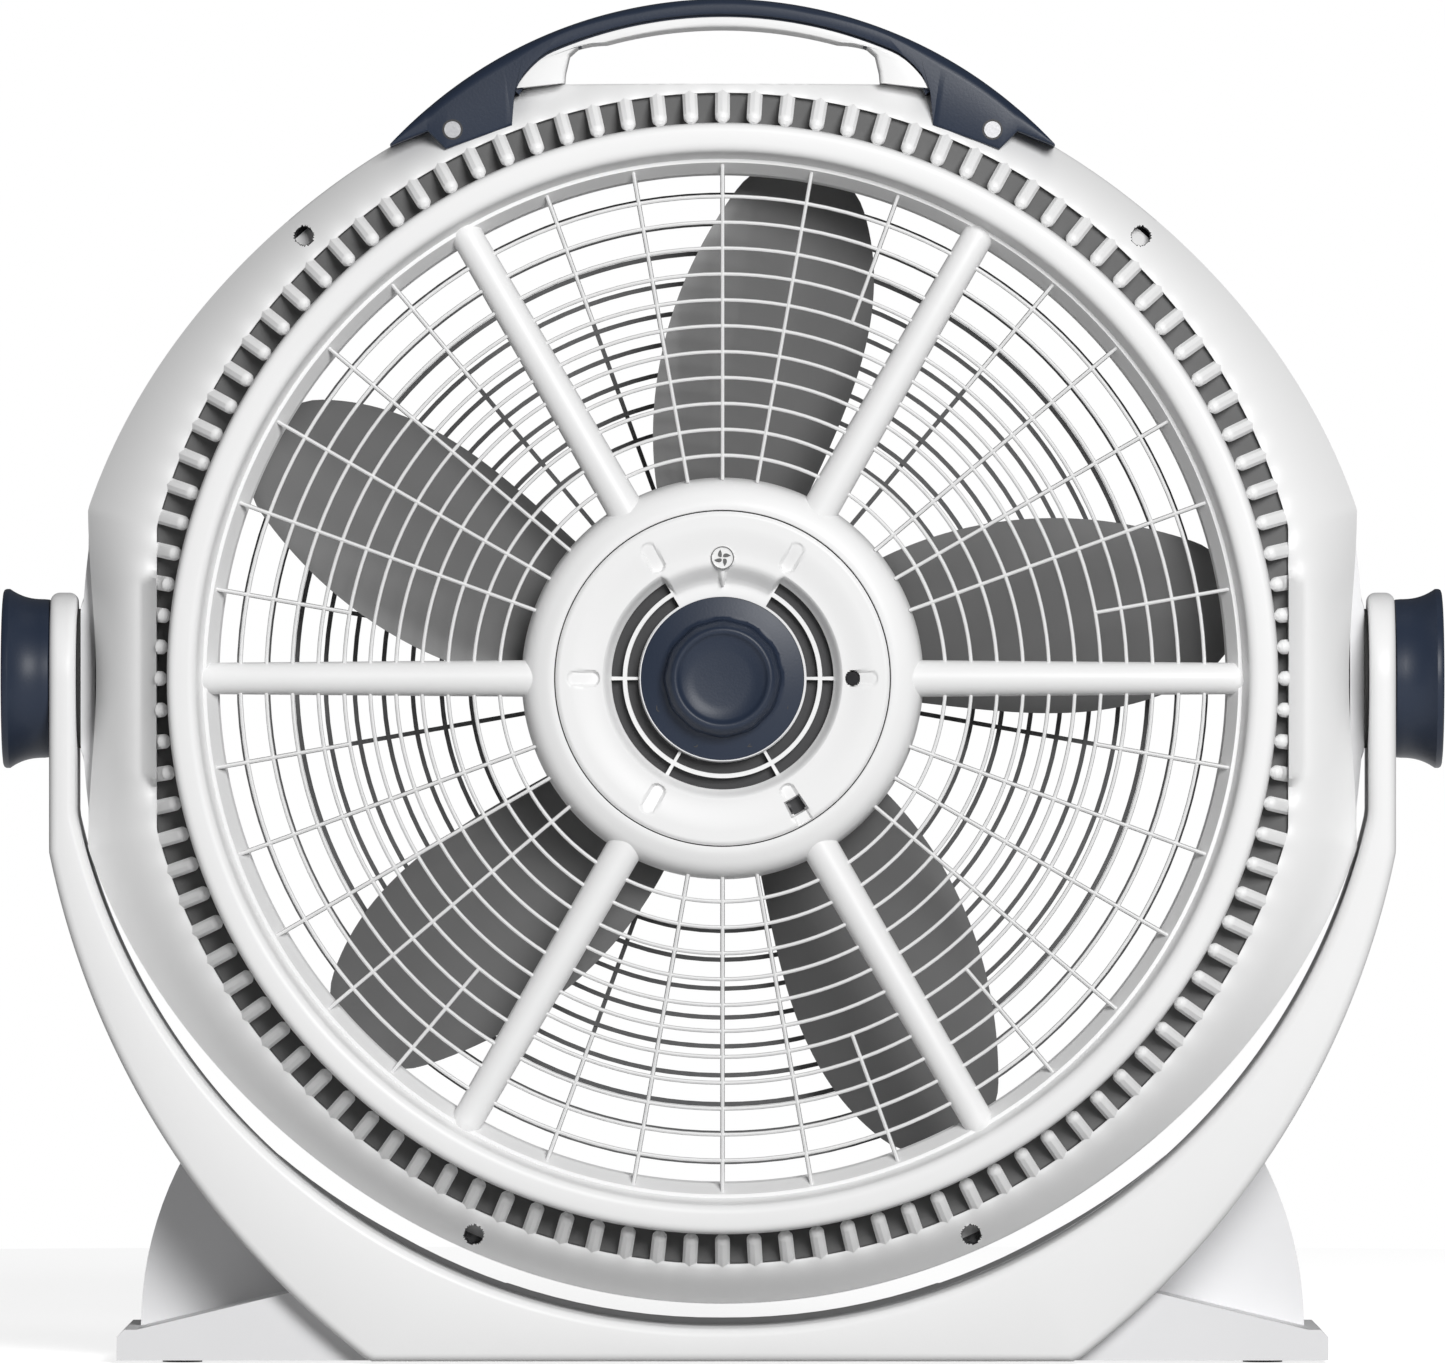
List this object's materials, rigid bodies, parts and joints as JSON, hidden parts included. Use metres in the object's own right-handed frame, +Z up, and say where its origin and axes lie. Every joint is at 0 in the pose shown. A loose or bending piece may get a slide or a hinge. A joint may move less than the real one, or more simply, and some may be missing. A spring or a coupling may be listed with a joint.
{
  "type": "floor fan",
  "caption": "Round floor fan whose guarded head tilts between the arms of a U-shaped stand, with a carrying handle, side clamp knobs and a speed knob.",
  "frame": {"origin": "on the floor under the middle of the bounding box", "axes": "+Z up, the front of the fan faces -Y, +X to the right of a viewer facing the front"},
  "size_m": [0.579, 0.17, 0.5465],
  "materials": {
    "white_plastic": "satin white moulded plastic",
    "rear_plastic": "satin off-white moulded plastic",
    "navy_plastic": "satin dark blue moulded plastic",
    "blade_plastic": "mid-grey moulded plastic",
    "grille_plastic": "dark grey moulded plastic",
    "black_plastic": "black moulded plastic",
    "rubber": "matt black rubber",
    "steel": "zinc-plated steel",
    "dark_steel": "black oxide steel",
    "core_steel": "laminated electrical steel",
    "bell_metal": "cast aluminium",
    "bronze": "sintered bronze",
    "winding": "varnished copper winding"
  },
  "bodies": {
    "stand": {"yoke": "white_plastic", "stand_back": "rear_plastic", "stand_screws": "dark_steel", "rubber_feet": "rubber"},
    "head": {"front_shroud": "white_plastic", "front_guard": "white_plastic", "hub_panel": "white_plastic", "panel_screw": "dark_steel", "rear_housing": "rear_plastic", "rear_grille": "grille_plastic", "grille_screws": "steel", "left_pivot_nut": "steel", "right_pivot_nut": "steel", "left_friction_disc": "rubber", "right_friction_disc": "rubber", "handle_cover": "navy_plastic", "handle_grip": "white_plastic", "handle_screws": "steel", "housing_screws": "dark_steel", "motor_front_bell": "bell_metal", "motor_rear_bell": "bell_metal", "stator_core": "core_steel", "stator_windings": "winding", "motor_bolts": "steel", "motor_nuts": "steel", "front_bearing": "bronze", "rear_bearing": "bronze", "capacitor": "black_plastic", "rotary_switch": "black_plastic", "switch_nut": "steel", "motor_leads": "winding", "lead_grommet": "rubber", "cord_gland": "rubber"},
    "rotor": {"motor_shaft": "steel", "rotor_core": "core_steel", "fan_blade": "blade_plastic", "blade_washer": "steel", "blade_nut": "steel", "thrust_washers": "bronze"},
    "dial": {"speed_knob": "navy_plastic", "switch_shaft": "steel", "knob_clip": "steel"},
    "left_clamp_washer": {"left_washer": "dark_steel"},
    "left_clamp": {"left_knob": "navy_plastic", "left_clamp_bolt": "steel"},
    "right_clamp_washer": {"right_washer": "dark_steel"},
    "right_clamp": {"right_knob": "navy_plastic", "right_clamp_bolt": "steel"}
  },
  "joints": [
    {"name": "head_tilt", "type": "hinge", "parent": "stand", "child": "head", "pos_m": [0, -0.022, 0.2745], "axis": [-1, 0, 0], "range_deg": [-30, 90]},
    {"name": "fan_spin", "type": "hinge", "parent": "head", "child": "rotor", "pos_m": [0, -0.022, 0.2745], "axis": [0, -1, 0], "continuous": true},
    {"name": "speed_knob_turn", "type": "hinge", "parent": "head", "child": "dial", "pos_m": [0, -0.022, 0.2745], "axis": [0, 1, 0], "range_deg": [0, 247.5]},
    {"name": "left_clamp_travel", "type": "slide", "parent": "stand", "child": "left_clamp_washer", "axis": [-1, 0, 0], "range_m": [0, 0.0013]},
    {"name": "left_knob_turn", "type": "hinge", "parent": "left_clamp_washer", "child": "left_clamp", "pos_m": [-0.27, -0.022, 0.2745], "axis": [-1, 0, 0], "range_deg": [0, 360]},
    {"name": "right_clamp_travel", "type": "slide", "parent": "stand", "child": "right_clamp_washer", "axis": [1, 0, 0], "range_m": [0, 0.0013]},
    {"name": "right_knob_turn", "type": "hinge", "parent": "right_clamp_washer", "child": "right_clamp", "pos_m": [0.27, -0.022, 0.2745], "axis": [1, 0, 0], "range_deg": [0, 360]}
  ],
  "couplings": [
    {"joint": "left_clamp_travel", "follows": "left_knob_turn", "m_per_rad": 0.00019894},
    {"joint": "right_clamp_travel", "follows": "right_knob_turn", "m_per_rad": 0.00019894}
  ]
}
